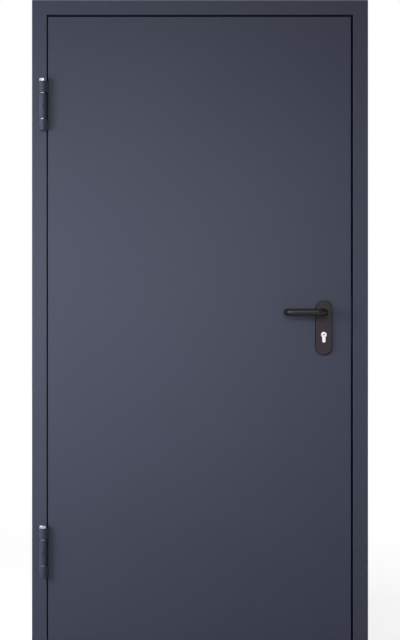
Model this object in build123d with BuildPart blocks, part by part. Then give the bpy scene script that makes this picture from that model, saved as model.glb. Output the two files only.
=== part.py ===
from build123d import *
import os

os.makedirs("parts", exist_ok=True)

# Overall sizes in millimetres: x from the hinge-side wall face, y from half the frame's depth, z up
frame_width = 1050
frame_height = 2050
frame_depth = 100

# Bent frame profile: face, stop and back lip, folded from one sheet
face_width = 47
sill_face = 42
stop_width = 23
back_lip = 45
frame_sheet = 2
bend_radius = 2.5
sill_notch = 4

# Leaf: a front pan with a flange all round and a narrower back pan behind it
hinge_gap = 3.5
edge_gap = 6
leaf_thickness = 62
leaf_sheet = 1.5
flange_depth = 18
flange_reach = 7
pan_lip = 20
leaf_edge_round = 2

# Seals on the stop
seal_space = 5
seal_free = 0.5
seal_width = 9
seal_wall = 1.2
seal_inset = 11.5
seal_end_gap = 0.3

# Fire strips on the leaf edges
strip_width = 12
strip_thickness = 2
strip_back = 3
strip_end = 2

# Fixing holes through both jambs, a pair measured from either end
fixing_r = 5.5
fixing_end = 250
fixing_spacing = 500

# Hinges, stacked upward: lower knuckle, ring, middle knuckle, ring, upper knuckle, cap
hinge_foot_inset = 202
hinge_top_inset = 195
barrel_r = 12
barrel_stand = 2
knuckle_edge = 0.8
lower_knuckle = 33.5
middle_knuckle = 77
upper_knuckle = 34.5
groove = 3.5
ring_wall = 2.5
pin_r = 6
pin_raise = 2
cap_height = 9.5
cap_round = 2.5
hinge_plate = 2
hinge_plate_depth = 15
web_thickness = 6
foot_width = 12
run_fit = 0.05
thrust_gap = 0.3

# Lever handles and their plates
backset = 79
lever_z = 1074
lever_r = 11
lever_reach = 58
lever_length = 137
lever_bend = 24
lever_tip_gap = 16
lever_tip_round = 4
lever_stand = 1
shank_r = 9.5
shank_fit = 0.1
spindle_size = 9
socket_depth = 20
plate_width = 52
plate_height = 170
plate_rise = 36
plate_thickness = 8
plate_edge_round = 2.5

# Profile cylinder
cylinder_drop = 70
cylinder_proud = 3
plug_r = 8.5
stem_width = 10
stem_drop = 24.5
keyway_width = 8.6
keyway_height = 2.6
keyway_depth = 12
cylinder_fit = 0.3

# Mortise lock in the leaf's edge
lock_set = 16
case_behind = 33
case_height = 165
case_thickness = 16
follower_over_spindle = 0.75
forend_width = 22
forend_height = 235
forend_thickness = 3
forend_corner = 3
forend_fit = 0.2
bolt_thickness = 12
bolt_fit = 0.3
latch_height = 28
latch_tail = 35
latch_drop = 5
latch_proud = 6
latch_flat = 3
dead_bolt_height = 32
dead_bolt_tail = 30
dead_bolt_rise = 24
dead_bolt_round = 1.5
pan_hole_margin = 1
core_margin = 6

# Strike plate behind a window in the lock jamb
strike_width = 30
strike_height = 200
strike_corner = 4
strike_overlap = 4
strike_play = 1.5

# Security bolts on the hinge edge
security_bolt_r = 6
security_bolt_entry = 10
security_bolt_clear = 6
security_bolt_round = 2
security_bolt_heights = (560, 1480)

# Planes and places that follow from the sizes
front_y = -frame_depth / 2
back_y = frame_depth / 2
flange_y = front_y + flange_depth
leaf_back_y = front_y + leaf_thickness
leaf_mid_y = front_y + leaf_thickness / 2
stop_y = leaf_back_y + seal_space
stop_x = face_width + stop_width
flange_x0 = face_width + hinge_gap
flange_x1 = frame_width - face_width - edge_gap
flange_z0 = sill_face + edge_gap
flange_z1 = frame_height - face_width - edge_gap
body_x0 = flange_x0 + flange_reach
body_x1 = flange_x1 - flange_reach
body_z0 = flange_z0 + flange_reach
body_z1 = flange_z1 - flange_reach
lock_y = flange_y + lock_set
lever_x = body_x1 - backset
cylinder_z = lever_z - cylinder_drop
lock_z = (lever_z + cylinder_z) / 2
latch_z = lever_z - latch_drop
dead_bolt_z = cylinder_z + dead_bolt_rise
case_x0 = lever_x - case_behind
case_x1 = body_x1 - forend_thickness
hinge_x = flange_x0 - hinge_plate - barrel_r
hinge_y = front_y - barrel_r - barrel_stand
hinge_height = lower_knuckle + middle_knuckle + upper_knuckle + 2 * groove + cap_height


def block(x0, x1, y0, y1, z0, z1, mode=Mode.ADD):
    # A box from its lowest to its highest corner
    with Locations((x0, y0, z0)):
        Box(x1 - x0, y1 - y0, z1 - z0, align=(Align.MIN, Align.MIN, Align.MIN), mode=mode)


def facing(x, y, z):
    # A sketch plane that faces the viewer
    return Plane(origin=(x, y, z), x_dir=(1, 0, 0), z_dir=(0, -1, 0))


def sideways(x, y, z):
    # A sketch plane that faces the lock side
    return Plane(origin=(x, y, z), x_dir=(0, 1, 0), z_dir=(1, 0, 0))


def bent_section(face, side, place):
    # The outer line of the folded sheet: wall web, face, reveal, stop, inner reveal, back lip
    corners = [
        (0, back_y),
        (0, front_y),
        (face, front_y),
        (face, stop_y),
        (face + stop_width, stop_y),
        (face + stop_width, back_y),
        (face + stop_width - back_lip, back_y),
    ]
    with BuildLine() as outline:
        FilletPolyline(*[place(out, deep) for out, deep in corners], radius=bend_radius)
        offset(amount=frame_sheet, side=side)
    make_face(outline.edges())


def seal_section(at, turn):
    # A hollow rubber seal: a flat base on the stop and a round lip toward the leaf
    height = seal_space - seal_free
    with Locations(Location(at, turn)):
        Rectangle(seal_width, height / 2, align=(Align.CENTER, Align.MIN))
        with Locations((0, height / 2)):
            Ellipse(seal_width / 2, height / 2)
            Ellipse(seal_width / 2 - seal_wall, height / 2 - seal_wall, mode=Mode.SUBTRACT)


def cylinder_section(margin):
    # The profile of the lock cylinder: a round head with a narrow stem below
    Circle(plug_r + margin)
    with Locations((0, (stem_width / 2 - stem_drop) / 2)):
        SlotOverall(
            stem_drop + stem_width / 2 + 2 * margin,
            stem_width + 2 * margin,
            rotation=90,
        )


def save(piece, name):
    piece.part.label = name
    export_step(piece.part, "parts/" + name + ".step")


# Hinge jamb: mitred on top, with the fixing holes and two holes for the security bolts
fixing_y = (stop_y + back_y) / 2
fixing_heights = [
    fixing_end,
    fixing_end + fixing_spacing,
    frame_height - fixing_end - fixing_spacing,
    frame_height - fixing_end,
]
with BuildPart() as frame_hinge_jamb:
    with BuildSketch():
        bent_section(face_width, Side.RIGHT, lambda out, deep: (out, deep))
    extrude(amount=frame_height)
    split(bisect_by=Plane(origin=(0, 0, frame_height), z_dir=(1, 0, 1)), keep=Keep.BOTTOM)
    for height in fixing_heights:
        with BuildSketch(sideways(0, fixing_y, height)):
            Circle(fixing_r)
        extrude(amount=stop_x, mode=Mode.SUBTRACT)
    for height in security_bolt_heights:
        with BuildSketch(sideways(face_width - frame_sheet, lock_y, height)):
            Circle(security_bolt_r + security_bolt_clear)
        extrude(amount=frame_sheet, mode=Mode.SUBTRACT)
save(frame_hinge_jamb, "frame_hinge_jamb")

# Lock jamb: the same profile the other way round, with a window for the strike plate
with BuildPart() as frame_lock_jamb:
    with BuildSketch():
        bent_section(face_width, Side.LEFT, lambda out, deep: (frame_width - out, deep))
    extrude(amount=frame_height)
    split(
        bisect_by=Plane(origin=(frame_width, 0, frame_height), z_dir=(-1, 0, 1)),
        keep=Keep.BOTTOM,
    )
    for height in fixing_heights:
        with BuildSketch(sideways(frame_width - stop_x, fixing_y, height)):
            Circle(fixing_r)
        extrude(amount=stop_x, mode=Mode.SUBTRACT)
    with BuildSketch(sideways(frame_width - face_width, lock_y, lock_z)):
        RectangleRounded(
            strike_width - 2 * strike_overlap,
            strike_height - 2 * strike_overlap,
            strike_corner,
        )
    extrude(amount=frame_sheet, mode=Mode.SUBTRACT)
save(frame_lock_jamb, "frame_lock_jamb")

# Head: the same profile laid across, mitred at both ends
with BuildPart() as frame_head:
    with BuildSketch(Plane.YZ):
        bent_section(face_width, Side.RIGHT, lambda out, deep: (deep, frame_height - out))
    extrude(amount=frame_width)
    split(bisect_by=Plane(origin=(0, 0, frame_height), z_dir=(1, 0, 1)), keep=Keep.TOP)
    split(
        bisect_by=Plane(origin=(frame_width, 0, frame_height), z_dir=(-1, 0, 1)),
        keep=Keep.TOP,
    )
save(frame_head, "frame_head")

# Sill: a lower profile butted between the jambs and notched round their stops
notch_y = stop_y - sill_notch
with BuildPart() as frame_sill:
    with BuildSketch(Plane.YZ.offset(face_width)):
        bent_section(sill_face, Side.LEFT, lambda out, deep: (deep, out))
    extrude(amount=frame_width - 2 * face_width)
    for x0 in (face_width, frame_width - stop_x):
        block(x0, x0 + stop_width, notch_y, back_y, 0, frame_height, Mode.SUBTRACT)
save(frame_sill, "frame_sill")

# Seals up both jambs, and across the head and the sill between them
seal_z0 = sill_face + seal_inset - seal_width / 2
seal_z1 = frame_height - face_width - seal_inset + seal_width / 2
for name, seal_x in (
    ("hinge_side_seal", face_width + seal_inset),
    ("lock_side_seal", frame_width - face_width - seal_inset),
):
    with BuildPart() as upright_seal:
        with BuildSketch(Plane.XY.offset(seal_z0)):
            seal_section((seal_x, stop_y), 180)
        extrude(amount=seal_z1 - seal_z0)
    save(upright_seal, name)

for name, seal_x0, seal_z in (
    (
        "head_seal",
        face_width + seal_inset + seal_width / 2 + seal_end_gap,
        frame_height - face_width - seal_inset,
    ),
    ("sill_seal", stop_x + seal_end_gap, sill_face + seal_inset),
):
    with BuildPart() as cross_seal:
        with BuildSketch(Plane.YZ.offset(seal_x0)):
            seal_section((stop_y, seal_z), 90)
        extrude(amount=frame_width - 2 * seal_x0)
    save(cross_seal, name)

# Strike plate, lapped behind its window, with openings for the latch and the dead bolt
with BuildPart() as strike_plate:
    with BuildSketch(sideways(frame_width - face_width + frame_sheet, lock_y, lock_z)):
        RectangleRounded(strike_width, strike_height, strike_corner)
        for bolt_z, bolt_height in (
            (latch_z, latch_height),
            (dead_bolt_z, dead_bolt_height),
        ):
            with Locations((0, bolt_z - lock_z)):
                Rectangle(
                    bolt_thickness + 2 * strike_play,
                    bolt_height + 2 * strike_play,
                    mode=Mode.SUBTRACT,
                )
    extrude(amount=frame_sheet)
save(strike_plate, "strike_plate")


def handle_holes(y):
    # Holes through one pan for the lever's shank and the cylinder, hidden under the plate
    with BuildSketch(facing(lever_x, y, lever_z)) as holes:
        Circle(shank_r + pan_hole_margin)
        with Locations((0, cylinder_z - lever_z)):
            cylinder_section(pan_hole_margin)
    extrude(holes.sketch, amount=leaf_sheet, mode=Mode.SUBTRACT)


# Front pan: rounded face edge, flange all round and a lip turned inward behind it
with BuildPart() as leaf_front_tray:
    block(flange_x0, flange_x1, front_y, flange_y, flange_z0, flange_z1)
    fillet(leaf_front_tray.faces().sort_by(Axis.Y)[0].edges(), radius=leaf_edge_round)
    block(
        flange_x0 + leaf_sheet,
        flange_x1 - leaf_sheet,
        front_y + leaf_sheet,
        flange_y - leaf_sheet,
        flange_z0 + leaf_sheet,
        flange_z1 - leaf_sheet,
        Mode.SUBTRACT,
    )
    block(
        flange_x0 + pan_lip,
        flange_x1 - pan_lip,
        flange_y - leaf_sheet,
        flange_y,
        flange_z0 + pan_lip,
        flange_z1 - pan_lip,
        Mode.SUBTRACT,
    )
    handle_holes(front_y + leaf_sheet)
save(leaf_front_tray, "leaf_front_tray")

# Back pan: seated on the lip of the front pan, cut out for the forend
with BuildPart() as leaf_back_tray:
    block(body_x0, body_x1, flange_y, leaf_back_y, body_z0, body_z1)
    fillet(leaf_back_tray.faces().sort_by(Axis.Y)[-1].edges(), radius=leaf_edge_round)
    block(
        body_x0 + leaf_sheet,
        body_x1 - leaf_sheet,
        flange_y,
        leaf_back_y - leaf_sheet,
        body_z0 + leaf_sheet,
        body_z1 - leaf_sheet,
        Mode.SUBTRACT,
    )
    handle_holes(leaf_back_y)
    with BuildSketch(sideways(body_x1 - leaf_sheet, lock_y, lock_z)):
        RectangleRounded(
            forend_width + 2 * forend_fit,
            forend_height + 2 * forend_fit,
            forend_corner,
        )
    extrude(amount=leaf_sheet, mode=Mode.SUBTRACT)
save(leaf_back_tray, "leaf_back_tray")

# Mineral-wool core: fills both pans, with pockets for the lock, its forend and its crossings
with BuildPart() as leaf_core:
    block(
        body_x0 + leaf_sheet,
        body_x1 - leaf_sheet,
        flange_y,
        leaf_back_y - leaf_sheet,
        body_z0 + leaf_sheet,
        body_z1 - leaf_sheet,
    )
    block(
        flange_x0 + pan_lip,
        flange_x1 - pan_lip,
        front_y + leaf_sheet,
        flange_y,
        flange_z0 + pan_lip,
        flange_z1 - pan_lip,
    )
    block(
        case_x0,
        body_x1,
        lock_y - case_thickness / 2,
        lock_y + case_thickness / 2,
        lock_z - case_height / 2,
        lock_z + case_height / 2,
        Mode.SUBTRACT,
    )
    block(
        case_x1,
        body_x1,
        lock_y - forend_width / 2 - forend_fit,
        lock_y + forend_width / 2 + forend_fit,
        lock_z - forend_height / 2 - forend_fit,
        lock_z + forend_height / 2 + forend_fit,
        Mode.SUBTRACT,
    )
    block(
        lever_x - shank_r - core_margin,
        lever_x + shank_r + core_margin,
        front_y,
        leaf_back_y,
        cylinder_z - stem_drop - core_margin,
        lever_z + shank_r + core_margin,
        Mode.SUBTRACT,
    )
save(leaf_core, "leaf_core")

# Fire strips on the two upright edges and the top edge of the back pan
strip_y1 = leaf_back_y - strip_back
strip_y0 = strip_y1 - strip_width
for name, strip_x in (
    ("hinge_edge_strip", body_x0 - strip_thickness),
    ("lock_edge_strip", body_x1),
):
    with BuildPart() as upright_strip:
        block(
            strip_x,
            strip_x + strip_thickness,
            strip_y0,
            strip_y1,
            body_z0 + strip_end,
            body_z1 - strip_end,
        )
    save(upright_strip, name)

with BuildPart() as top_edge_strip:
    block(
        body_x0 + strip_end,
        body_x1 - strip_end,
        strip_y0,
        strip_y1,
        body_z1,
        body_z1 + strip_thickness,
    )
save(top_edge_strip, "top_edge_strip")

# Lock case with guides for latch and dead bolt and crossings for spindle and cylinder
follower_r = spindle_size * follower_over_spindle
with BuildPart() as lock_case:
    block(
        case_x0,
        case_x1,
        lock_y - case_thickness / 2,
        lock_y + case_thickness / 2,
        lock_z - case_height / 2,
        lock_z + case_height / 2,
    )
    with BuildSketch(facing(lever_x, lock_y + case_thickness / 2, lever_z)):
        Circle(follower_r)
        with Locations((0, cylinder_z - lever_z)):
            cylinder_section(cylinder_fit)
    extrude(amount=case_thickness, mode=Mode.SUBTRACT)
    for bolt_z, bolt_height, tail in (
        (latch_z, latch_height, latch_tail),
        (dead_bolt_z, dead_bolt_height, dead_bolt_tail),
    ):
        block(
            case_x1 - tail,
            case_x1,
            lock_y - bolt_thickness / 2,
            lock_y + bolt_thickness / 2,
            bolt_z - bolt_height / 2,
            bolt_z + bolt_height / 2,
            Mode.SUBTRACT,
        )
save(lock_case, "lock_case")

# Forend, flush in the lock edge
with BuildPart() as lock_forend:
    with BuildSketch(sideways(case_x1, lock_y, lock_z)):
        RectangleRounded(forend_width, forend_height, forend_corner)
        for bolt_z, bolt_height in (
            (latch_z, latch_height),
            (dead_bolt_z, dead_bolt_height),
        ):
            with Locations((0, bolt_z - lock_z)):
                Rectangle(
                    bolt_thickness + 2 * bolt_fit,
                    bolt_height + 2 * bolt_fit,
                    mode=Mode.SUBTRACT,
                )
    extrude(amount=forend_thickness)
save(lock_forend, "lock_forend")

# Latch with its slanted nose, part withdrawn so that it clears the jamb as the leaf swings
with BuildPart() as latch_bolt:
    with BuildSketch(Plane.XY.offset(latch_z - latch_height / 2)):
        with BuildLine():
            Polyline(
                (case_x1 - latch_tail, lock_y - bolt_thickness / 2),
                (body_x1 + latch_proud, lock_y - bolt_thickness / 2),
                (body_x1 + latch_proud, lock_y - bolt_thickness / 2 + latch_flat),
                (body_x1, lock_y + bolt_thickness / 2),
                (case_x1 - latch_tail, lock_y + bolt_thickness / 2),
                close=True,
            )
        make_face()
    extrude(amount=latch_height)
save(latch_bolt, "latch_bolt")

# Dead bolt, drawn back flush with the forend
with BuildPart() as dead_bolt:
    block(
        case_x1 - dead_bolt_tail,
        body_x1,
        lock_y - bolt_thickness / 2,
        lock_y + bolt_thickness / 2,
        dead_bolt_z - dead_bolt_height / 2,
        dead_bolt_z + dead_bolt_height / 2,
    )
    fillet(dead_bolt.faces().sort_by(Axis.X)[-1].edges(), radius=dead_bolt_round)
save(dead_bolt, "dead_bolt")

# Profile cylinder through the leaf and both plates, with a flat keyway at either end
cylinder_y0 = front_y - plate_thickness - cylinder_proud
cylinder_y1 = leaf_back_y + plate_thickness + cylinder_proud
with BuildPart() as lock_cylinder:
    with BuildSketch(facing(lever_x, cylinder_y1, cylinder_z)):
        cylinder_section(0)
    extrude(amount=cylinder_y1 - cylinder_y0)
    for keyway_y in (cylinder_y0 + keyway_depth, cylinder_y1):
        with BuildSketch(facing(lever_x, keyway_y, cylinder_z)):
            SlotOverall(keyway_width, keyway_height)
        extrude(amount=keyway_depth, mode=Mode.SUBTRACT)
save(lock_cylinder, "lock_cylinder")

# Handle plates with round ends, the back one a mirror image through the middle of the leaf
leaf_middle = Plane(origin=(0, leaf_mid_y, 0), z_dir=(0, 1, 0))
with BuildPart() as front_handle_plate:
    with BuildSketch(facing(lever_x, front_y, lever_z + plate_rise - plate_height / 2)):
        SlotOverall(plate_height, plate_width, rotation=90)
    extrude(amount=plate_thickness)
    fillet(front_handle_plate.faces().sort_by(Axis.Y)[0].edges(), radius=plate_edge_round)
    with BuildSketch(facing(lever_x, front_y, lever_z)):
        Circle(shank_r + shank_fit)
        with Locations((0, cylinder_z - lever_z)):
            cylinder_section(cylinder_fit)
    extrude(amount=plate_thickness, mode=Mode.SUBTRACT)
save(front_handle_plate, "front_handle_plate")

with BuildPart() as back_handle_plate:
    mirror(front_handle_plate.part, about=leaf_middle)
save(back_handle_plate, "back_handle_plate")

# Levers: a round bar bent twice so that its free end points back at the leaf
root_y = front_y - plate_thickness - lever_stand
grip_y = front_y - lever_reach
free_end_x = lever_x + 2 * lever_r - lever_length
with BuildPart() as front_lever:
    with BuildLine(Plane.XY.offset(lever_z)):
        FilletPolyline(
            (lever_x, root_y),
            (lever_x, grip_y),
            (free_end_x, grip_y),
            (free_end_x, front_y - lever_tip_gap),
            radius=lever_bend,
        )
    with BuildSketch(facing(lever_x, root_y, lever_z)):
        Circle(lever_r)
    sweep()
    free_end = front_lever.faces().filter_by(Axis.Y).sort_by(Axis.X)[0]
    fillet(free_end.edges(), radius=lever_tip_round)
    with BuildSketch(facing(lever_x, front_y - lever_stand, lever_z)):
        Circle(shank_r)
    extrude(amount=plate_thickness)
    with BuildSketch(facing(lever_x, front_y, lever_z)):
        Rectangle(spindle_size, spindle_size)
    extrude(amount=socket_depth, mode=Mode.SUBTRACT)
save(front_lever, "front_lever")

with BuildPart() as back_lever:
    mirror(front_lever.part, about=leaf_middle)
save(back_lever, "back_lever")

with BuildPart() as spindle:
    with BuildSketch(facing(lever_x, leaf_back_y + socket_depth, lever_z)):
        Rectangle(spindle_size, spindle_size)
    extrude(amount=leaf_thickness + 2 * socket_depth)
save(spindle, "spindle")

# Security bolts fixed in the hinge edge, reaching into the jamb while the leaf is shut
security_bolt_reach = flange_reach + hinge_gap + security_bolt_entry
with BuildPart() as security_bolts:
    for height in security_bolt_heights:
        with BuildSketch(sideways(body_x0 - security_bolt_reach, lock_y, height)):
            Circle(security_bolt_r)
        extrude(amount=security_bolt_reach)
    tips = security_bolts.faces().filter_by(Axis.X).group_by(Axis.X)[0]
    fillet(tips.edges(), radius=security_bolt_round)
save(security_bolts, "security_bolts")


def knuckle(bottom, height):
    # One bored barrel of a hinge with its two rims broken
    with BuildSketch(Plane.XY.offset(bottom)) as ring:
        with Locations((hinge_x, hinge_y)):
            Circle(barrel_r)
            Circle(pin_r + run_fit, mode=Mode.SUBTRACT)
    barrel = extrude(ring.sketch, amount=height)
    chamfer(barrel.edges().filter_by(GeomType.CIRCLE).group_by(SortBy.RADIUS)[-1], knuckle_edge)


def pin_bore(bottom, height):
    # The bore for the pin, cut again after a foot or a web has joined the barrel
    with Locations((hinge_x, hinge_y, bottom)):
        Cylinder(
            pin_r + run_fit,
            height,
            align=(Align.CENTER, Align.CENTER, Align.MIN),
            mode=Mode.SUBTRACT,
        )


# Hinges: outer knuckles on the leaf, middle knuckle on the frame, one capped pin and two rings
for place, foot_z in (
    ("lower", flange_z0 + hinge_foot_inset),
    ("upper", flange_z1 - hinge_top_inset - hinge_height),
):
    middle_z = foot_z + lower_knuckle + groove
    upper_z = middle_z + middle_knuckle + groove
    top_z = upper_z + upper_knuckle

    # The middle knuckle stands on a foot welded to the frame's face
    with BuildPart() as frame_knuckle:
        knuckle(middle_z, middle_knuckle)
        block(
            hinge_x - foot_width / 2,
            hinge_x + foot_width / 2,
            hinge_y,
            front_y,
            middle_z + knuckle_edge,
            middle_z + middle_knuckle - knuckle_edge,
        )
        pin_bore(middle_z, middle_knuckle)
    save(frame_knuckle, place + "_hinge_frame_knuckle")

    # The outer knuckles hang on webs from one plate against the edge of the leaf's flange
    with BuildPart() as leaf_knuckles:
        for bottom, height in ((foot_z, lower_knuckle), (upper_z, upper_knuckle)):
            knuckle(bottom, height)
            block(
                hinge_x,
                flange_x0,
                hinge_y - web_thickness / 2,
                hinge_y + web_thickness / 2,
                bottom + knuckle_edge,
                bottom + height - knuckle_edge,
            )
            block(
                flange_x0 - hinge_plate,
                flange_x0,
                hinge_y,
                front_y + hinge_plate_depth,
                bottom + knuckle_edge,
                bottom + height - knuckle_edge,
            )
            pin_bore(bottom, height)
        block(
            flange_x0 - hinge_plate,
            flange_x0,
            front_y + leaf_edge_round,
            front_y + hinge_plate_depth,
            foot_z + knuckle_edge,
            top_z - knuckle_edge,
        )
    save(leaf_knuckles, place + "_hinge_leaf_knuckles")

    # The pin, with its bright cap on top
    with BuildPart() as hinge_pin:
        with BuildSketch(Plane.XY.offset(foot_z + pin_raise)):
            with Locations((hinge_x, hinge_y)):
                Circle(pin_r)
        extrude(amount=top_z + thrust_gap - foot_z - pin_raise)
        with BuildSketch(Plane.XY.offset(top_z + thrust_gap)):
            with Locations((hinge_x, hinge_y)):
                Circle(barrel_r)
        extrude(amount=cap_height - thrust_gap)
        fillet(hinge_pin.faces().sort_by(Axis.Z)[-1].edges(), radius=cap_round)
    save(hinge_pin, place + "_hinge_pin")

    # Bearing rings in the two grooves, resting against the middle knuckle
    with BuildPart() as hinge_rings:
        for bottom in (middle_z - groove + thrust_gap, middle_z + middle_knuckle):
            with BuildSketch(Plane.XY.offset(bottom)):
                with Locations((hinge_x, hinge_y)):
                    Circle(pin_r + ring_wall)
                    Circle(pin_r + run_fit, mode=Mode.SUBTRACT)
            extrude(amount=groove - thrust_gap)
    save(hinge_rings, place + "_hinge_rings")
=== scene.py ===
import math

import bmesh
import bpy
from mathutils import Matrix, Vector


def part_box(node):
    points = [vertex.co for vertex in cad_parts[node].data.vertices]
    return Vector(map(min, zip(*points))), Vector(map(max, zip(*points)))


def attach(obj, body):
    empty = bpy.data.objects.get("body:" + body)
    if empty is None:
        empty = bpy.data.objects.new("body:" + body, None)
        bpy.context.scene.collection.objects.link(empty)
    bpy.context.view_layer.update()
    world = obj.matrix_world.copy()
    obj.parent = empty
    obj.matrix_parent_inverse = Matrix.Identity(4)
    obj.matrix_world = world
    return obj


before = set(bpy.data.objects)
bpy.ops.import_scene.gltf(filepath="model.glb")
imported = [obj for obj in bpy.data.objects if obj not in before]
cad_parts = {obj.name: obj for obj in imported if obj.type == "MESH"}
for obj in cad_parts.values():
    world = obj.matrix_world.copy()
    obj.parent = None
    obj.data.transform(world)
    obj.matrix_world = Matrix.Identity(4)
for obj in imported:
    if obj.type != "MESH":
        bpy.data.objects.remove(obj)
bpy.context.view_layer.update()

scene = bpy.context.scene
MM = 0.001
X, Y, Z = range(3)
VALUE, COLOUR, VECTOR = "NodeSocketFloat", "NodeSocketColor", "NodeSocketVector"
WHOLE_NUMBER, MATERIAL, OBJECT = "NodeSocketInt", "NodeSocketMaterial", "NodeSocketObject"


# Node helpers

def feed(tree, value, socket):
    """Link a socket, or set a plain value on it."""
    if isinstance(value, bpy.types.NodeSocket):
        tree.links.new(value, socket)
    else:
        socket.default_value = value


def calc(tree, operation, *values):
    """One Math node."""
    node = tree.nodes.new("ShaderNodeMath")
    node.operation = operation
    for value, socket in zip(values, node.inputs):
        feed(tree, value, socket)
    return node.outputs[0]


def spread(tree, value, low, high, out_low, out_high):
    """A value moved from one range to another, held at both ends."""
    node = tree.nodes.new("ShaderNodeMapRange")
    node.interpolation_type = "SMOOTHSTEP"
    for name, number in (
        ("Value", value),
        ("From Min", low),
        ("From Max", high),
        ("To Min", out_low),
        ("To Max", out_high),
    ):
        feed(tree, number, node.inputs[name])
    return node.outputs["Result"]


def noise(tree, vector, scale, detail=2.0, roughness=0.5):
    """Soft three-dimensional noise, from 0 to 1."""
    node = tree.nodes.new("ShaderNodeTexNoise")
    feed(tree, vector, node.inputs["Vector"])
    feed(tree, scale, node.inputs["Scale"])
    node.inputs["Detail"].default_value = detail
    node.inputs["Roughness"].default_value = roughness
    return node.outputs[0]


def blend_colour(tree, share, first, second):
    """Two colours mixed by a share from 0 to 1."""
    node = tree.nodes.new("ShaderNodeMix")
    node.data_type = "RGBA"
    feed(tree, share, node.inputs[0])
    feed(tree, first, node.inputs[6])
    feed(tree, second, node.inputs[7])
    return node.outputs[2]


def shader_group(name, inputs, outputs):
    """An empty shader node group with named sockets."""
    tree = bpy.data.node_groups.new(name, "ShaderNodeTree")
    for label, kind, default in inputs:
        socket = tree.interface.new_socket(label, in_out="INPUT", socket_type=kind)
        if default is not None:
            socket.default_value = default
    for label, kind in outputs:
        tree.interface.new_socket(label, in_out="OUTPUT", socket_type=kind)
    return tree, tree.nodes.new("NodeGroupInput"), tree.nodes.new("NodeGroupOutput")


# Shared surface effects

def make_coat_skin():
    """Orange peel of a baked coat or a moulded skin, with a slow drift of tone."""
    tree, given, made = shader_group(
        "coat_skin",
        [("Vector", VECTOR, None), ("Peel size", VALUE, 0.002), ("Grain size", VALUE, 0.0005)],
        [("Height", VALUE), ("Drift", VALUE)],
    )
    where = given.outputs["Vector"]
    peel = noise(tree, where, calc(tree, "DIVIDE", 1.0, given.outputs["Peel size"]), 1.0)
    grain = noise(tree, where, calc(tree, "DIVIDE", 1.0, given.outputs["Grain size"]), 0.0)
    height = calc(tree, "MULTIPLY_ADD", grain, 0.3, calc(tree, "MULTIPLY", peel, 0.7))
    feed(tree, height, made.inputs["Height"])
    feed(tree, noise(tree, where, 4.0, 3.0, 0.55), made.inputs["Drift"])
    return tree


def make_drawn_lines():
    """Fine lines that run up the piece, as rolling and brushing leave them."""
    tree, given, made = shader_group(
        "drawn_lines",
        [("Vector", VECTOR, None), ("Line width", VALUE, 0.0004), ("Line length", VALUE, 0.03)],
        [("Height", VALUE), ("Streak", VALUE)],
    )
    across = calc(tree, "DIVIDE", 1.0, given.outputs["Line width"])
    along = calc(tree, "DIVIDE", 1.0, given.outputs["Line length"])
    size = tree.nodes.new("ShaderNodeCombineXYZ")
    for value, socket in zip((across, across, along), size.inputs):
        feed(tree, value, socket)
    stretch = tree.nodes.new("ShaderNodeVectorMath")
    stretch.operation = "MULTIPLY"
    feed(tree, given.outputs["Vector"], stretch.inputs[0])
    feed(tree, size.outputs[0], stretch.inputs[1])
    line = noise(tree, stretch.outputs[0], 1.0, 2.0, 0.6)
    feed(tree, line, made.inputs["Height"])
    feed(tree, spread(tree, line, 0.3, 0.7, 0.0, 1.0), made.inputs["Streak"])
    return tree


def make_turned_lines():
    """Tool marks that run round an upright axis, on the side and on the end of a turned piece."""
    tree, given, made = shader_group(
        "turned_lines",
        [("Vector", VECTOR, None), ("Pitch", VALUE, 0.0003)],
        [("Height", VALUE), ("Streak", VALUE)],
    )
    split = tree.nodes.new("ShaderNodeSeparateXYZ")
    feed(tree, given.outputs["Vector"], split.inputs[0])
    across = calc(
        tree,
        "SQRT",
        calc(
            tree,
            "ADD",
            calc(tree, "POWER", split.outputs[0], 2.0),
            calc(tree, "POWER", split.outputs[1], 2.0),
        ),
    )
    path = calc(tree, "ADD", across, split.outputs[2])
    step = calc(tree, "DIVIDE", path, given.outputs["Pitch"])
    line = tree.nodes.new("ShaderNodeTexNoise")
    line.noise_dimensions = "1D"
    feed(tree, step, line.inputs["W"])
    line.inputs["Scale"].default_value = 1.0
    line.inputs["Detail"].default_value = 2.0
    feed(tree, line.outputs[0], made.inputs["Height"])
    feed(tree, spread(tree, line.outputs[0], 0.3, 0.7, 0.0, 1.0), made.inputs["Streak"])
    return tree


def make_settled_dust():
    """A thin film of dust on what faces up."""
    tree, given, made = shader_group(
        "settled_dust",
        [
            ("Vector", VECTOR, None),
            ("Colour", COLOUR, None),
            ("Dust colour", COLOUR, (0.30, 0.29, 0.28, 1.0)),
            ("Amount", VALUE, 0.15),
        ],
        [("Colour", COLOUR), ("Cover", VALUE)],
    )
    surface = tree.nodes.new("ShaderNodeNewGeometry")
    split = tree.nodes.new("ShaderNodeSeparateXYZ")
    feed(tree, surface.outputs["Normal"], split.inputs[0])
    upward = spread(tree, split.outputs[2], 0.45, 0.95, 0.0, 1.0)
    patchy = spread(tree, noise(tree, given.outputs["Vector"], 90.0, 3.0, 0.6), 0.3, 0.7, 0.35, 1.0)
    cover = calc(tree, "MULTIPLY", calc(tree, "MULTIPLY", upward, patchy), given.outputs["Amount"])
    dusty = blend_colour(tree, cover, given.outputs["Colour"], given.outputs["Dust colour"])
    feed(tree, dusty, made.inputs["Colour"])
    feed(tree, cover, made.inputs["Cover"])
    return tree


coat_skin = make_coat_skin()
drawn_lines = make_drawn_lines()
turned_lines = make_turned_lines()
settled_dust = make_settled_dust()


# Finishes

def start_finish(name):
    """A new material: its tree, its shader and the piece's own coordinates."""
    finish = bpy.data.materials.new(name)
    finish.use_nodes = True
    tree = finish.node_tree
    shader = tree.nodes["Principled BSDF"]
    where = tree.nodes.new("ShaderNodeTexCoord").outputs["Object"]
    return finish, tree, shader, where


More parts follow.
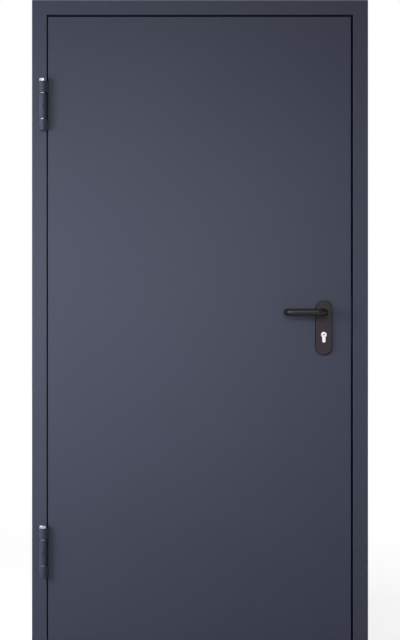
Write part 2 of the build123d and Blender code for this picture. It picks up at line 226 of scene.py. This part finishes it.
def place_group(tree, group, **values):
    """A shared effect set into one material, with its own values."""
    node = tree.nodes.new("ShaderNodeGroup")
    node.node_tree = group
    for name, value in values.items():
        feed(tree, value, node.inputs[name.replace("_", " ")])
    return node.outputs


def add_bump(tree, shader, height, depth, strength=1.0):
    """Relief of a given depth in metres."""
    bump = tree.nodes.new("ShaderNodeBump")
    bump.inputs["Strength"].default_value = strength
    bump.inputs["Distance"].default_value = depth
    feed(tree, height, bump.inputs["Height"])
    feed(tree, bump.outputs[0], shader.inputs["Normal"])


def edge_share(tree):
    """How far a face turns away from the front and the back of the leaf, from 0 to 1."""
    way = tree.nodes.new("ShaderNodeSeparateXYZ")
    feed(tree, tree.nodes.new("ShaderNodeTexCoord").outputs["Normal"], way.inputs[0])
    return spread(tree, calc(tree, "ABSOLUTE", way.outputs[1]), 0.70, 0.98, 1.0, 0.0)


def skinned(name, dark, light, rough, peel, grain, depth, specular, dust, painted_shade_rim=None):
    """A coated or moulded finish: peel, drift of tone and gloss, a little dust, perhaps a rim darkened
    with painted shade and made matt.
    """
    finish, tree, shader, where = start_finish(name)
    skin = place_group(tree, coat_skin, Vector=where, Peel_size=peel, Grain_size=grain)
    tone = blend_colour(tree, spread(tree, skin["Drift"], 0.3, 0.7, 0.0, 1.0), dark, light)
    shader.inputs["Specular IOR Level"].default_value = specular
    if painted_shade_rim:
        edge = edge_share(tree)
        # Faces turning away from the front blend toward the rim colour, which paints shade round the
        # edge; their gloss is taken away there too.
        tone = blend_colour(tree, edge, tone, painted_shade_rim)
        feed(tree, spread(tree, edge, 0.0, 1.0, specular, 0.0), shader.inputs["Specular IOR Level"])
    film = place_group(tree, settled_dust, Vector=where, Colour=tone, Amount=dust)
    feed(tree, film["Colour"], shader.inputs["Base Color"])
    gloss = spread(tree, skin["Drift"], 0.3, 0.7, rough[0], rough[1])
    feed(tree, calc(tree, "ADD", gloss, film["Cover"]), shader.inputs["Roughness"])
    add_bump(tree, shader, skin["Height"], depth)
    return finish


def lined(name, dark, light, rough, width, length, depth):
    """Bare or plated metal with fine lines running up it."""
    finish, tree, shader, where = start_finish(name)
    line = place_group(tree, drawn_lines, Vector=where, Line_width=width, Line_length=length)
    tone = blend_colour(tree, line["Streak"], dark, light)
    film = place_group(tree, settled_dust, Vector=where, Colour=tone, Amount=0.05)
    feed(tree, film["Colour"], shader.inputs["Base Color"])
    feed(tree, spread(tree, line["Height"], 0.3, 0.7, rough[0], rough[1]), shader.inputs["Roughness"])
    shader.inputs["Metallic"].default_value = 1.0
    add_bump(tree, shader, line["Height"], depth)
    return finish


def turned(name, dark, light, rough, pitch, depth, axis):
    """Turned and polished metal with marks round an upright axis."""
    finish, tree, shader, where = start_finish(name)
    centred = tree.nodes.new("ShaderNodeMapping")
    centred.inputs["Location"].default_value = (-axis[0], -axis[1], 0.0)
    feed(tree, where, centred.inputs["Vector"])
    line = place_group(tree, turned_lines, Vector=centred.outputs[0], Pitch=pitch)
    feed(tree, blend_colour(tree, line["Streak"], dark, light), shader.inputs["Base Color"])
    feed(tree, spread(tree, line["Height"], 0.3, 0.7, rough[0], rough[1]), shader.inputs["Roughness"])
    shader.inputs["Metallic"].default_value = 1.0
    add_bump(tree, shader, line["Height"], depth)
    return finish


def fibrous(name, dark, light):
    """Pressed mineral fibre."""
    finish, tree, shader, where = start_finish(name)
    fibre = place_group(tree, drawn_lines, Vector=where, Line_width=0.0012, Line_length=0.02)
    feed(tree, blend_colour(tree, fibre["Streak"], dark, light), shader.inputs["Base Color"])
    feed(tree, spread(tree, fibre["Height"], 0.3, 0.7, 0.85, 1.0), shader.inputs["Roughness"])
    add_bump(tree, shader, fibre["Height"], 0.0006)
    return finish


pin_low, pin_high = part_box("upper_hinge_pin")
hinge_axis = (pin_low + pin_high) / 2

finishes = {
    "paint": skinned(
        "graphite_powder_coat",
        dark=(0.0560, 0.0628, 0.1005, 1.0),
        light=(0.0605, 0.0673, 0.1065, 1.0),
        rough=(0.50, 0.58),
        peel=0.0022,
        grain=0.0006,
        depth=0.00005,
        specular=0.30,
        dust=0.06,
    ),
    "plate_black": skinned(
        "matt_black_plate",
        dark=(0.0265, 0.0195, 0.0280, 1.0),
        light=(0.0305, 0.0225, 0.0320, 1.0),
        rough=(0.52, 0.60),
        peel=0.0008,
        grain=0.0003,
        depth=0.00004,
        specular=0.35,
        dust=0.08,
        # Rim colour: painted shade, a dark outline round the plate's edges.
        painted_shade_rim=(0.004, 0.0035, 0.004, 1.0),
    ),
    "lever_black": skinned(
        "satin_black_lever",
        dark=(0.0055, 0.0055, 0.006, 1.0),
        light=(0.0075, 0.0075, 0.008, 1.0),
        rough=(0.36, 0.44),
        peel=0.0009,
        grain=0.0003,
        depth=0.00002,
        specular=0.42,
        dust=0.03,
    ),
    "seal_rubber": skinned(
        "black_seal_rubber",
        dark=(0.012, 0.012, 0.013, 1.0),
        light=(0.018, 0.018, 0.019, 1.0),
        rough=(0.70, 0.85),
        peel=0.0012,
        grain=0.0004,
        depth=0.00005,
        specular=0.3,
        dust=0.12,
    ),
    "fire_strip": skinned(
        "graphite_fire_strip",
        dark=(0.020, 0.020, 0.022, 1.0),
        light=(0.035, 0.035, 0.038, 1.0),
        rough=(0.45, 0.70),
        peel=0.0007,
        grain=0.0003,
        depth=0.00006,
        specular=0.4,
        dust=0.10,
    ),
    "bright_steel": turned(
        "polished_hinge_steel",
        dark=(0.62, 0.63, 0.65, 1.0),
        light=(0.74, 0.75, 0.77, 1.0),
        rough=(0.17, 0.24),
        pitch=0.0004,
        depth=0.00001,
        axis=hinge_axis,
    ),
    "plated_steel": lined(
        "zinc_plated_steel",
        dark=(0.44, 0.45, 0.46, 1.0),
        light=(0.58, 0.59, 0.60, 1.0),
        rough=(0.28, 0.42),
        width=0.0004,
        length=0.03,
        depth=0.00001,
    ),
    "cylinder_nickel": lined(
        "satin_nickel",
        dark=(0.80, 0.79, 0.78, 1.0),
        light=(0.90, 0.89, 0.88, 1.0),
        rough=(0.22, 0.34),
        width=0.0003,
        length=0.01,
        depth=0.00001,
    ),
    "mineral_wool": fibrous(
        "mineral_wool_board",
        dark=(0.28, 0.24, 0.13, 1.0),
        light=(0.40, 0.35, 0.20, 1.0),
    ),
}
# A darker copy of the polished hinge steel for the bearing rings: painted shade of the grooves between
# the knuckles.
shaded_ring_steel = turned(
    "groove_shade_bearing_steel",
    dark=(0.25, 0.25, 0.26, 1.0),
    light=(0.37, 0.37, 0.38, 1.0),
    rough=(0.22, 0.30),
    pitch=0.0005,
    depth=0.00001,
    axis=hinge_axis,
)
black_oxide = lined(
    "blackened_screw_steel",
    dark=(0.010, 0.010, 0.011, 1.0),
    light=(0.022, 0.022, 0.024, 1.0),
    rough=(0.35, 0.5),
    width=0.0003,
    length=0.002,
    depth=0.00001,
)

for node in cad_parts.values():
    for place in node.material_slots:
        place.material = finishes[place.material.name.split(".")[0]]
for place in ("upper", "lower"):
    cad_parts[place + "_hinge_rings"].material_slots[0].material = shaded_ring_steel


# Geometry node trees for what repeats or follows a line

def geometry_tree(name, inputs):
    """An empty geometry tree with named inputs."""
    tree = bpy.data.node_groups.new(name, "GeometryNodeTree")
    tree.interface.new_socket("Geometry", in_out="INPUT", socket_type="NodeSocketGeometry")
    for label, kind, default in inputs:
        socket = tree.interface.new_socket(label, in_out="INPUT", socket_type=kind)
        if default is not None:
            socket.default_value = default
    tree.interface.new_socket("Geometry", in_out="OUTPUT", socket_type="NodeSocketGeometry")
    return tree, tree.nodes.new("NodeGroupInput"), tree.nodes.new("NodeGroupOutput")


def end_tree(tree, geometry, given, made):
    """Plain mesh at the end, in one finish."""
    whole = tree.nodes.new("GeometryNodeRealizeInstances")
    painted = tree.nodes.new("GeometryNodeSetMaterial")
    feed(tree, geometry, whole.inputs[0])
    feed(tree, whole.outputs[0], painted.inputs["Geometry"])
    feed(tree, given.outputs["Finish"], painted.inputs["Material"])
    feed(tree, painted.outputs[0], made.inputs["Geometry"])


def make_screw_places():
    """One head on every point, square to the surface it sits on, its recess turned at random."""
    tree, given, made = geometry_tree(
        "screw_places",
        [
            ("Head", OBJECT, None),
            ("Seed", WHOLE_NUMBER, 1),
            ("Finish", MATERIAL, None),
        ],
    )
    facing = tree.nodes.new("GeometryNodeInputNamedAttribute")
    facing.data_type = "FLOAT_VECTOR"
    facing.inputs["Name"].default_value = "facing"
    square = tree.nodes.new("FunctionNodeAlignRotationToVector")
    square.axis = "Z"
    feed(tree, facing.outputs["Attribute"], square.inputs["Vector"])
    chance = tree.nodes.new("FunctionNodeRandomValue")
    chance.data_type = "FLOAT"
    chance.inputs[2].default_value = 0.0
    chance.inputs[3].default_value = 2 * math.pi
    feed(tree, given.outputs["Seed"], chance.inputs["Seed"])
    twist = tree.nodes.new("FunctionNodeAxisAngleToRotation")
    twist.inputs["Axis"].default_value = (0.0, 0.0, 1.0)
    feed(tree, chance.outputs[1], twist.inputs["Angle"])
    turned_head = tree.nodes.new("FunctionNodeRotateRotation")
    turned_head.rotation_space = "LOCAL"
    feed(tree, square.outputs[0], turned_head.inputs[0])
    feed(tree, twist.outputs[0], turned_head.inputs[1])
    head = tree.nodes.new("GeometryNodeObjectInfo")
    feed(tree, given.outputs["Head"], head.inputs["Object"])
    set_out = tree.nodes.new("GeometryNodeInstanceOnPoints")
    feed(tree, given.outputs["Geometry"], set_out.inputs["Points"])
    feed(tree, head.outputs["Geometry"], set_out.inputs["Instance"])
    feed(tree, turned_head.outputs[0], set_out.inputs["Rotation"])
    end_tree(tree, set_out.outputs[0], given, made)
    return tree


WELD_UNEVEN_SCALE, WELD_WANDER, WELD_LEAST, WELD_SWING = 350.0, 0.6, 0.85, 0.15
WELD_END_STEEPNESS, WELD_END_SIZE = 30.0, 0.25


def make_weld_run():
    """A rippled weld bead along a line."""
    tree, given, made = geometry_tree(
        "weld_run",
        [
            ("Bead radius", VALUE, 0.0016),
            ("Ripple pitch", VALUE, 0.0022),
            ("Ripple depth", VALUE, 0.16),
            ("Step", VALUE, 0.0005),
            ("Sides", WHOLE_NUMBER, 12),
            ("Finish", MATERIAL, None),
        ],
    )
    line = tree.nodes.new("GeometryNodeMeshToCurve")
    feed(tree, given.outputs["Geometry"], line.inputs["Mesh"])
    fine = tree.nodes.new("GeometryNodeResampleCurve")
    fine.mode = "LENGTH"
    feed(tree, line.outputs[0], fine.inputs["Curve"])
    feed(tree, given.outputs["Step"], fine.inputs["Length"])
    along = tree.nodes.new("GeometryNodeSplineParameter")
    spot = tree.nodes.new("GeometryNodeInputPosition")
    uneven = noise(tree, spot.outputs[0], WELD_UNEVEN_SCALE, 1.0)
    phase = calc(tree, "DIVIDE", along.outputs["Length"], given.outputs["Ripple pitch"])
    wander = calc(tree, "MULTIPLY", uneven, WELD_WANDER)
    saw = calc(tree, "FRACT", calc(tree, "ADD", phase, wander))
    swell = calc(tree, "SINE", calc(tree, "MULTIPLY", saw, math.pi))
    grown = calc(
        tree,
        "ADD",
        calc(tree, "MULTIPLY_ADD", swell, given.outputs["Ripple depth"], WELD_LEAST),
        calc(tree, "MULTIPLY", uneven, WELD_SWING),
    )
    done = along.outputs["Factor"]
    ends = calc(
        tree,
        "MINIMUM",
        calc(tree, "MULTIPLY", done, WELD_END_STEEPNESS),
        calc(tree, "MULTIPLY", calc(tree, "SUBTRACT", 1.0, done), WELD_END_STEEPNESS),
    )
    taper = spread(tree, ends, -WELD_END_SIZE, 1.0, WELD_END_SIZE, 1.0)
    radius = calc(tree, "MULTIPLY", calc(tree, "MULTIPLY", grown, taper), given.outputs["Bead radius"])
    round_section = tree.nodes.new("GeometryNodeCurvePrimitiveCircle")
    feed(tree, given.outputs["Sides"], round_section.inputs["Resolution"])
    round_section.inputs["Radius"].default_value = 1.0
    tube = tree.nodes.new("GeometryNodeCurveToMesh")
    feed(tree, fine.outputs[0], tube.inputs["Curve"])
    feed(tree, round_section.outputs[0], tube.inputs["Profile Curve"])
    feed(tree, radius, tube.inputs["Scale"])
    tube.inputs["Fill Caps"].default_value = True
    smooth = tree.nodes.new("GeometryNodeSetShadeSmooth")
    feed(tree, tube.outputs[0], smooth.inputs[0])
    end_tree(tree, smooth.outputs[0], given, made)
    return tree


screw_places = make_screw_places()
weld_run = make_weld_run()


def grow(name, start, tree, values):
    """Run a geometry tree on a start mesh and keep the result as a plain piece."""
    seed = bpy.data.objects.new(name + "_start", start)
    scene.collection.objects.link(seed)
    grower = seed.modifiers.new("grow", "NODES")
    grower.node_group = tree
    for item in tree.interface.items_tree:
        if item.in_out == "INPUT" and item.name in values:
            grower[item.identifier] = values[item.name]
    bpy.context.view_layer.update()
    graph = bpy.context.evaluated_depsgraph_get()
    mesh = bpy.data.meshes.new_from_object(seed.evaluated_get(graph))
    mesh.name = name
    piece = bpy.data.objects.new(name, mesh)
    scene.collection.objects.link(piece)
    seed.modifiers.remove(grower)
    bpy.data.objects.remove(seed)
    return piece


def add_piece(piece, body):
    """A finished piece rides on its body."""
    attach(piece, body)
    return piece


# Meshes made of loops of points

def bridge(work, lower, upper):
    """A band of faces between two loops of the same length."""
    for step in range(len(lower)):
        after = (step + 1) % len(lower)
        work.faces.new((lower[step], lower[after], upper[after], upper[step]))


def mesh_from(work, name):
    """A plain mesh with its normals outward."""
    bmesh.ops.recalc_face_normals(work, faces=work.faces)
    mesh = bpy.data.meshes.new(name)
    work.to_mesh(mesh)
    work.free()
    return mesh


# Screw heads

HEAD_SIDES = 48


def ring_of(work, radius, height):
    """One loop of points round the axis, its radius a number or a function of the angle."""
    loop = []
    for step in range(HEAD_SIDES):
        angle = 2 * math.pi * step / HEAD_SIDES
        out = radius(angle) if callable(radius) else radius
        loop.append(work.verts.new((out * math.cos(angle), out * math.sin(angle), height)))
    return loop


def turned_mesh(name, rings):
    """A closed shell through a stack of loops, from its foot, over the top, to its last floor."""
    work = bmesh.new()
    loops = [ring_of(work, radius, height) for radius, height in rings]
    for lower, upper in zip(loops, loops[1:]):
        bridge(work, lower, upper)
    work.faces.new(list(reversed(loops[0])))
    work.faces.new(loops[-1])
    return mesh_from(work, name)


def hexagon(across):
    """Radius of a hexagon at an angle, by its width across the flats."""
    sector = math.pi / 3
    return lambda angle: across / 2 / math.cos((angle % sector) - sector / 2)


def six_lobes(outer, inner):
    """Radius of a six-lobed recess at an angle."""
    middle, swing = (outer + inner) / 2, (outer - inner) / 2
    return lambda angle: middle + swing * math.cos(6 * angle)


def head_object(name, rings):
    """A head to set out on points, removed when its screws are made."""
    head = bpy.data.objects.new(name, turned_mesh(name, rings))
    scene.collection.objects.link(head)
    return head


grub_head = head_object(
    "grub_head",
    [
        (2.5 * MM, -0.8 * MM),
        (2.5 * MM, 0.22 * MM),
        (2.25 * MM, 0.42 * MM),
        (hexagon(2.9 * MM), 0.42 * MM),
        (hexagon(2.6 * MM), 0.26 * MM),
        (hexagon(2.6 * MM), 0.06 * MM),
    ],
)
oval_head = head_object(
    "oval_head",
    [
        (3.9 * MM, -0.6 * MM),
        (3.9 * MM, 0.10 * MM),
        (3.6 * MM, 0.38 * MM),
        (3.0 * MM, 0.66 * MM),
        (2.4 * MM, 0.82 * MM),
        (six_lobes(1.95 * MM, 1.45 * MM), 0.86 * MM),
        (six_lobes(1.8 * MM, 1.3 * MM), 0.70 * MM),
        (six_lobes(1.8 * MM, 1.3 * MM), 0.08 * MM),
    ],
)


def set_screws(name, head, spots, seed, finish, body):
    """Screws of one body: each spot is a place and the way its head faces, in millimetres."""
    points = bpy.data.meshes.new(name + "_points")
    points.from_pydata([Vector(spot) * MM for spot, _ in spots], [], [])
    facing = points.attributes.new("facing", "FLOAT_VECTOR", "POINT")
    for row, (_, way) in zip(facing.data, spots):
        row.vector = Vector(way).normalized()
    piece = grow(name, points, screw_places, {"Head": head, "Seed": seed, "Finish": finish})
    return add_piece(piece, body)


def lay_welds(name, runs, radius, body):
    """Weld beads of one body: each run is a start and an end, in millimetres."""
    corners = [Vector(corner) * MM for run in runs for corner in run]
    lines = bpy.data.meshes.new(name + "_lines")
    lines.from_pydata(corners, [(2 * run, 2 * run + 1) for run in range(len(runs))], [])
    values = {"Bead radius": radius * MM, "Finish": finishes["paint"]}
    return add_piece(grow(name, lines, weld_run, values), body)


# Where things are, in millimetres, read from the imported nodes

def span(node, axis):
    """A node's lowest and highest value along one axis."""
    low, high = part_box(node)
    return low[axis] / MM, high[axis] / MM


hinge_x, hinge_y = hinge_axis[0] / MM, hinge_axis[1] / MM
frame_face_y = span("frame_hinge_jamb", Y)[0]
leaf_edge_x = span("leaf_front_tray", X)[0]
leaf_face_y = span("leaf_front_tray", Y)[0]
barrel_r = (pin_high[0] - pin_low[0]) / 2 / MM

# Hinges: grub screws in the knuckles and weld beads at the foot and the plate
FRAME_GRUB_TURN, LEAF_GRUB_TURN = 11, -46
LEAF_GRUB_RISE = 7.5
FOOT_WELD_R, FOOT_WELD_OUT, FOOT_WELD_PROUD, FOOT_WELD_INSET = 1.5, 6.6, 0.5, 2
PLATE_WELD_R, PLATE_WELD_OUT, PLATE_WELD_BACK, PLATE_WELD_INSET = 1.3, 0.2, 1.4, 3


def barrel_spot(turn, height):
    """A place on the barrel's front, turned about its axis in degrees, and the way it faces."""
    way = (math.sin(math.radians(turn)), -math.cos(math.radians(turn)), 0.0)
    return (hinge_x + barrel_r * way[X], hinge_y + barrel_r * way[Y], height), way


frame_grubs, leaf_grubs, foot_welds, plate_welds = [], [], [], []
for place in ("upper", "lower"):
    middle_z0, middle_z1 = span(place + "_hinge_frame_knuckle", Z)
    leaf_z0, leaf_z1 = span(place + "_hinge_leaf_knuckles", Z)
    frame_grubs.append(barrel_spot(FRAME_GRUB_TURN, (middle_z0 + middle_z1) / 2))
    leaf_grubs.append(barrel_spot(LEAF_GRUB_TURN, leaf_z0 + LEAF_GRUB_RISE))
    weld_y = frame_face_y - FOOT_WELD_PROUD
    for weld_x in (hinge_x - FOOT_WELD_OUT, hinge_x + FOOT_WELD_OUT):
        foot_welds.append(
            (
                (weld_x, weld_y, middle_z0 + FOOT_WELD_INSET),
                (weld_x, weld_y, middle_z1 - FOOT_WELD_INSET),
            )
        )
    weld_x, weld_y = leaf_edge_x - PLATE_WELD_OUT, leaf_face_y + PLATE_WELD_BACK
    plate_welds.append(
        ((weld_x, weld_y, leaf_z0 + PLATE_WELD_INSET), (weld_x, weld_y, leaf_z1 - PLATE_WELD_INSET))
    )

set_screws(
    "frame_hinge_grub_screws", grub_head, frame_grubs, 3, black_oxide, "frame"
)
set_screws("leaf_hinge_grub_screws", grub_head, leaf_grubs, 5, black_oxide, "leaf")
lay_welds("hinge_foot_welds", foot_welds, FOOT_WELD_R, "frame")
lay_welds("hinge_plate_welds", plate_welds, PLATE_WELD_R, "leaf")

# Lock edge, strike plate, inner handle plate and the necks of the levers
FOREND_SCREW_INSET, CYLINDER_SCREW_RISE = 12, 7
STRIKE_SCREW_INSET = 19
PLATE_FOOT_INSET, PLATE_TOP_INSET = 12, 10
NECK_GRUB_OUT = 8
forend_x = span("lock_forend", X)[1]
forend_y = sum(span("lock_forend", Y)) / 2
forend_z0, forend_z1 = span("lock_forend", Z)
cylinder_z0 = span("lock_cylinder", Z)[0]
set_screws(
    "forend_screws",
    oval_head,
    [
        ((forend_x, forend_y, height), (1.0, 0.0, 0.0))
        for height in (
            forend_z0 + FOREND_SCREW_INSET,
            forend_z1 - FOREND_SCREW_INSET,
            cylinder_z0 + CYLINDER_SCREW_RISE,
        )
    ],
    7,
    finishes["plated_steel"],
    "leaf",
)
strike_x = span("strike_plate", X)[0]
strike_y = sum(span("strike_plate", Y)) / 2
strike_z0, strike_z1 = span("strike_plate", Z)
set_screws(
    "strike_screws",
    oval_head,
    [
        ((strike_x, strike_y, height), (-1.0, 0.0, 0.0))
        for height in (strike_z0 + STRIKE_SCREW_INSET, strike_z1 - STRIKE_SCREW_INSET)
    ],
    9,
    finishes["plated_steel"],
    "frame",
)
plate_x = sum(span("back_handle_plate", X)) / 2
plate_y = span("back_handle_plate", Y)[1]
plate_z0, plate_z1 = span("back_handle_plate", Z)
set_screws(
    "back_plate_screws",
    oval_head,
    [
        ((plate_x, plate_y, height), (0.0, 1.0, 0.0))
        for height in (plate_z0 + PLATE_FOOT_INSET, plate_z1 - PLATE_TOP_INSET)
    ],
    11,
    black_oxide,
    "leaf",
)
lever_z0 = span("front_lever", Z)[0]
neck_ys = (span("front_handle_plate", Y)[0] - NECK_GRUB_OUT, plate_y + NECK_GRUB_OUT)
set_screws(
    "lever_grub_screws",
    grub_head,
    [((plate_x, neck_y, lever_z0), (0.0, 0.0, -1.0)) for neck_y in neck_ys],
    13,
    black_oxide,
    "lever",
)


# Cylinder: a proud plug with its keyway, and at either end a dark plate a little way in that paints shade
# into the keyway
PLUG_R, PLUG_SIDES = 8.5, 64
KEYWAY_HALF, KEYWAY_R = 3.0, 1.5
SHADE_PLATE_HALF, SHADE_PLATE_R, SHADE_PLATE_SIDES = 2.7, 1.2, 32
cylinder_faces = list(zip(span("lock_cylinder", Y), (-1, 1)))
plug_z = span("lock_cylinder", Z)[1] - PLUG_R


def slot_loop(half, radius, sides):
    """Points round a slot with round ends, or round a circle where half is 0."""
    loop = []
    for step in range(sides):
        angle = 2 * math.pi * (step + 0.5) / sides
        shift = half if math.cos(angle) > 0 else -half
        loop.append((shift + radius * math.cos(angle), radius * math.sin(angle)))
    return loop


def cylinder_ends(name, stack, ring, finish):
    """One form on both ends: loops at their rise off the end, joined to a ring or closed by two faces."""
    work = bmesh.new()
    for face_y, way in cylinder_faces:
        loops = [
            [
                work.verts.new(((plate_x + x) * MM, (face_y + way * rise) * MM, (plug_z + z) * MM))
                for x, z in loop
            ]
            for loop, rise in stack
        ]
        for inner, outer in zip(loops, loops[1:]):
            bridge(work, inner, outer)
        if ring:
            bridge(work, loops[-1], loops[0])
        else:
            work.faces.new(loops[0])
            work.faces.new(loops[-1])
    mesh = mesh_from(work, name)
    mesh.materials.append(finish)
    piece = bpy.data.objects.new(name, mesh)
    scene.collection.objects.link(piece)
    return add_piece(piece, "leaf")


cylinder_ends(
    "cylinder_plug_ends",
    [
        (slot_loop(KEYWAY_HALF, KEYWAY_R, PLUG_SIDES), -0.2),
        (slot_loop(KEYWAY_HALF, KEYWAY_R, PLUG_SIDES), 0.35),
        (slot_loop(KEYWAY_HALF, KEYWAY_R + 0.25, PLUG_SIDES), 0.55),
        (slot_loop(0.0, 5.9, PLUG_SIDES), 0.55),
        (slot_loop(0.0, 6.3, PLUG_SIDES), 0.45),
        (slot_loop(0.0, 6.5, PLUG_SIDES), 0.15),
        (slot_loop(0.0, 6.5, PLUG_SIDES), -0.2),
    ],
    True,
    finishes["cylinder_nickel"],
)
# Black plates just inside each keyway: painted shade, so the keyway reads dark.
cylinder_ends(
    "keyway_shutters",
    [
        (slot_loop(SHADE_PLATE_HALF, SHADE_PLATE_R - shrink, SHADE_PLATE_SIDES), -depth)
        for shrink, depth in ((0.0, 3.0), (0.0, 1.3), (0.3, 1.0), (0.8, 1.25))
    ],
    False,
    black_oxide,
)

for head in (grub_head, oval_head):
    bpy.data.objects.remove(head)


# Stage: pale floor, white surroundings, soft light from the left and the photograph's camera

FLOOR_REACH, FLOOR_DROP = 14.0, 0.5 * MM
FLOOR_GLOW_NEAR, FLOOR_GLOW_FAR, FLOOR_GLOW_MIRRORED = 0.58, 0.72, 0.50
FRONT_AMBIENT, BACK_AMBIENT = 0.245, 0.80
CORNER_MIRRORED, RIGHT_MIRRORED = 0.35, 0.25
CAMERA_PLACE, CAMERA_LENS = (0.525, -4.047, 1.0497), 72.0


def seen_directly(tree):
    """1 for what the camera, a mirror or glass looks at, 0 for what only gives light."""
    path = tree.nodes.new("ShaderNodeLightPath")
    straight = calc(
        tree, "MAXIMUM", path.outputs["Is Camera Ray"], path.outputs["Is Glossy Ray"]
    )
    return calc(tree, "MAXIMUM", straight, path.outputs["Is Transmission Ray"])


def make_floor():
    """A dull floor that keeps the shadow, and glows where it is looked at."""
    mesh = bpy.data.meshes.new("studio_floor")
    signs = ((-1, -1), (1, -1), (1, 1), (-1, 1))
    corners = [(x * FLOOR_REACH, y * FLOOR_REACH, -FLOOR_DROP) for x, y in signs]
    mesh.from_pydata(corners, [], [(0, 1, 2, 3)])
    floor = bpy.data.objects.new("studio_floor", mesh)
    scene.collection.objects.link(floor)
    pale = bpy.data.materials.new("pale_floor")
    pale.use_nodes = True
    tree = pale.node_tree
    tree.nodes.clear()
    dull = tree.nodes.new("ShaderNodeBsdfDiffuse")
    dull.inputs["Color"].default_value = (0.62, 0.62, 0.63, 1.0)
    shade = tree.nodes.new("ShaderNodeBsdfDiffuse")
    shade.inputs["Color"].default_value = (0.80, 0.80, 0.80, 1.0)
    glow = tree.nodes.new("ShaderNodeEmission")
    far_off = tree.nodes.new("ShaderNodeVectorMath")
    far_off.operation = "LENGTH"
    feed(tree, tree.nodes.new("ShaderNodeTexCoord").outputs["Object"], far_off.inputs[0])
    level = spread(tree, far_off.outputs["Value"], 1.0, 4.5, FLOOR_GLOW_NEAR, FLOOR_GLOW_FAR)
    path = tree.nodes.new("ShaderNodeLightPath")
    mirrored = spread(tree, path.outputs["Is Glossy Ray"], 0.0, 1.0, 1.0, FLOOR_GLOW_MIRRORED)
    feed(tree, calc(tree, "MULTIPLY", level, mirrored), glow.inputs["Strength"])
    both = tree.nodes.new("ShaderNodeAddShader")
    pick = tree.nodes.new("ShaderNodeMixShader")
    out = tree.nodes.new("ShaderNodeOutputMaterial")
    feed(tree, shade.outputs[0], both.inputs[0])
    feed(tree, glow.outputs[0], both.inputs[1])
    feed(tree, seen_directly(tree), pick.inputs[0])
    feed(tree, dull.outputs[0], pick.inputs[1])
    feed(tree, both.outputs[0], pick.inputs[2])
    feed(tree, pick.outputs[0], out.inputs["Surface"])
    mesh.materials.append(pale)


def make_surroundings():
    """White where it is looked at, soft from behind as light. Reflections show a bright front and side
    walls, with darker corners between them, dimmer toward the right."""
    world = bpy.data.worlds.new("studio")
    scene.world = world
    world.use_nodes = True
    tree = world.node_tree
    tree.nodes.clear()
    path = tree.nodes.new("ShaderNodeLightPath")
    way = tree.nodes.new("ShaderNodeSeparateXYZ")
    feed(tree, tree.nodes.new("ShaderNodeTexCoord").outputs["Generated"], way.inputs[0])
    front = spread(tree, way.outputs[Y], -0.88, -0.68, 1.0, CORNER_MIRRORED)
    walls = spread(tree, way.outputs[Y], -0.45, -0.15, CORNER_MIRRORED, 1.0)
    rightward = spread(tree, way.outputs[X], 0.05, 0.65, 1.0, RIGHT_MIRRORED)
    mirrored = calc(tree, "MULTIPLY", rightward, calc(tree, "MAXIMUM", front, walls))
    lit = tree.nodes.new("ShaderNodeMix")
    feed(tree, path.outputs["Is Glossy Ray"], lit.inputs[0])
    feed(tree, spread(tree, way.outputs[Y], 0.0, 0.7, FRONT_AMBIENT, BACK_AMBIENT), lit.inputs[2])
    feed(tree, mirrored, lit.inputs[3])
    looked_at = calc(
        tree, "MAXIMUM", path.outputs["Is Camera Ray"], path.outputs["Is Transmission Ray"]
    )
    level = tree.nodes.new("ShaderNodeMix")
    feed(tree, looked_at, level.inputs[0])
    feed(tree, lit.outputs[0], level.inputs[2])
    level.inputs[3].default_value = 1.0
    white = tree.nodes.new("ShaderNodeBackground")
    white.inputs["Color"].default_value = (1.0, 1.0, 1.0, 1.0)
    feed(tree, level.outputs[0], white.inputs["Strength"])
    out = tree.nodes.new("ShaderNodeOutputWorld")
    feed(tree, white.outputs[0], out.inputs["Surface"])


def add_softbox(name, place, target, size, power, spread_deg):
    """A rectangular light aimed at a point."""
    lamp = bpy.data.lights.new(name, "AREA")
    lamp.shape = "RECTANGLE"
    lamp.size, lamp.size_y = size
    lamp.energy = power
    lamp.spread = math.radians(spread_deg)
    box = bpy.data.objects.new(name, lamp)
    box.location = place
    box.rotation_euler = (Vector(target) - Vector(place)).to_track_quat("-Z", "Y").to_euler()
    scene.collection.objects.link(box)


def make_camera():
    """Square to the door, as far off as the photograph shows."""
    lens = bpy.data.cameras.new("front_camera")
    lens.lens = CAMERA_LENS
    lens.sensor_width = 36.0
    camera = bpy.data.objects.new("front_camera", lens)
    camera.location = CAMERA_PLACE
    camera.rotation_euler = (math.pi / 2, 0.0, 0.0)
    scene.collection.objects.link(camera)
    scene.camera = camera


make_floor()
make_surroundings()
add_softbox(
    "left_softbox",
    place=(-1.45, -1.30, 1.36),
    target=(0.35, -0.05, 0.86),
    size=(0.9, 1.0),
    power=18.2,
    spread_deg=130.0,
)
add_softbox(
    "front_softbox",
    place=(0.30, -3.00, 1.90),
    target=(0.44, -0.05, 1.06),
    size=(1.3, 1.1),
    power=1.8,
    spread_deg=40.0,
)
make_camera()
scene.view_settings.view_transform = "Standard"
